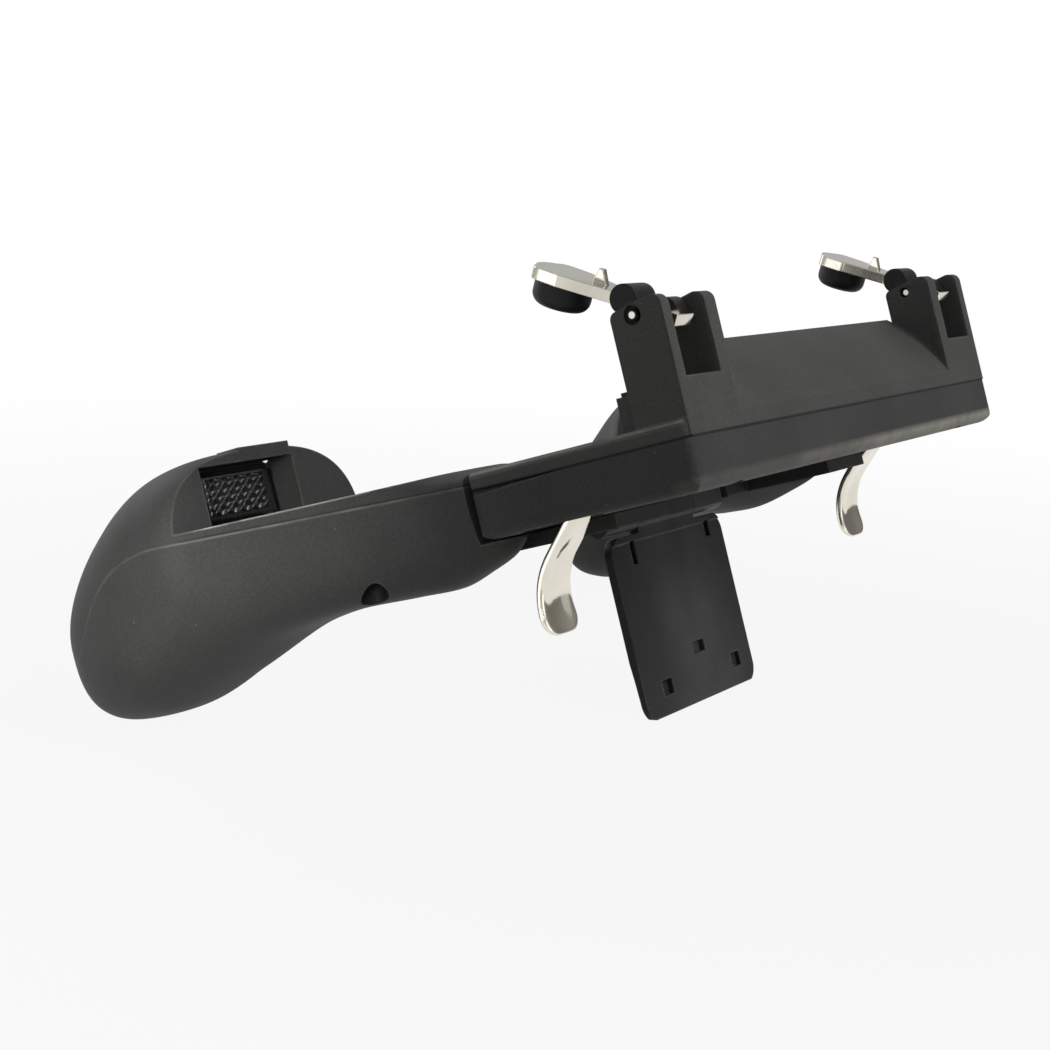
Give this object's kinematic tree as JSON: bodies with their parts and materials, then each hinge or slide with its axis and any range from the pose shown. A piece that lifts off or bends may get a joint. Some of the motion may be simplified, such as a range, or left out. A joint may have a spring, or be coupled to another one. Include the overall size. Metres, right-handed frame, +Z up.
{
  "type": "mobile game controller",
  "caption": "Phone game controller with sliding clamp grips, finger triggers that tip padded touch levers onto the screen, and a fold-out stand under a low body.",
  "frame": {"origin": "middle of the stand plate's foot, on the surface the controller stands on", "axes": "+X to the right along the body, +Y horizontal from the rear face towards the player, +Z up; the phone deck leans down towards the player"},
  "size_m": [0.1812, 0.0982, 0.0756],
  "materials": {
    "shell_plastic": "fine matte texture, dark grey",
    "dark_plastic": "matte, near black",
    "pad_rubber": "soft matte black",
    "jaw_rubber": "glossy black, diamond knurled",
    "chrome": "polished",
    "steel": "plain"
  },
  "bodies": {
    "body": {"body_lower_shell": "shell_plastic", "body_upper_shell": "shell_plastic", "body_screws": "steel", "stand_bracket": "dark_plastic", "stand_hinge_pin": "steel", "left_lever_pin": "steel", "left_trigger_spring": "steel", "left_trigger_pin": "steel", "left_grip_spring": "steel", "right_lever_pin": "steel", "right_trigger_spring": "steel", "right_trigger_pin": "steel", "right_grip_spring": "steel"},
    "stand": {"stand_plate": "dark_plastic"},
    "left_trigger_body": {"left_trigger": "chrome"},
    "left_lever_body": {"left_lever_arm": "chrome", "left_lever_hub": "dark_plastic", "left_touch_pad": "pad_rubber"},
    "left_link_body": {"left_pull_link": "steel"},
    "left_grip_body": {"left_grip_lower_shell": "shell_plastic", "left_grip_upper_shell": "shell_plastic", "left_jaw_pad": "jaw_rubber", "left_slide_rail": "steel", "left_grip_screws": "steel"},
    "right_trigger_body": {"right_trigger": "chrome"},
    "right_lever_body": {"right_lever_arm": "chrome", "right_lever_hub": "dark_plastic", "right_touch_pad": "pad_rubber"},
    "right_link_body": {"right_pull_link": "steel"},
    "right_grip_body": {"right_grip_lower_shell": "shell_plastic", "right_grip_upper_shell": "shell_plastic", "right_jaw_pad": "jaw_rubber", "right_slide_rail": "steel", "right_grip_screws": "steel"}
  },
  "joints": [
    {"name": "stand_hinge", "type": "hinge", "parent": "body", "child": "stand", "pos_m": [0, 0.01194, 0.03105], "axis": [-1, 0, 0], "range_deg": [0, 90]},
    {"name": "left_trigger_hinge", "type": "hinge", "parent": "body", "child": "left_trigger_body", "pos_m": [-0.05125, -0.00647, 0.04478], "axis": [1, 0, 0], "range_deg": [0, 8.59], "stiffness_Nm_per_rad": 0.4, "springref_deg": -6.88},
    {"name": "left_lever_hinge", "type": "hinge", "parent": "body", "child": "left_lever_body", "pos_m": [-0.05125, -0.01259, 0.0701], "axis": [1, 0, 0], "range_deg": [-43, 0.5]},
    {"name": "left_link_slide", "type": "slide", "parent": "body", "child": "left_link_body", "axis": [0, 0.342, 0.9397], "range_m": [-0.00193, 0.00003]},
    {"name": "left_grip_slide", "type": "slide", "parent": "body", "child": "left_grip_body", "axis": [0, 0.9397, -0.342], "range_m": [0, 0.024], "stiffness_N_per_m": 80, "springref_m": -0.02},
    {"name": "right_trigger_hinge", "type": "hinge", "parent": "body", "child": "right_trigger_body", "pos_m": [0.05125, -0.00647, 0.04478], "axis": [1, 0, 0], "range_deg": [0, 8.59], "stiffness_Nm_per_rad": 0.4, "springref_deg": -6.88},
    {"name": "right_lever_hinge", "type": "hinge", "parent": "body", "child": "right_lever_body", "pos_m": [0.05125, -0.01259, 0.0701], "axis": [1, 0, 0], "range_deg": [-43, 0.5]},
    {"name": "right_link_slide", "type": "slide", "parent": "body", "child": "right_link_body", "axis": [0, 0.342, 0.9397], "range_m": [-0.00193, 0.00003]},
    {"name": "right_grip_slide", "type": "slide", "parent": "body", "child": "right_grip_body", "axis": [0, 0.9397, -0.342], "range_m": [0, 0.024], "stiffness_N_per_m": 80, "springref_m": -0.02}
  ],
  "couplings": [
    {"joint": "left_lever_hinge", "follows": "left_trigger_hinge", "ratio": -4.6588},
    {"joint": "left_link_slide", "follows": "left_trigger_hinge", "m_per_rad": -0.011868},
    {"joint": "right_lever_hinge", "follows": "right_trigger_hinge", "ratio": -4.6588},
    {"joint": "right_link_slide", "follows": "right_trigger_hinge", "m_per_rad": -0.011868}
  ]
}
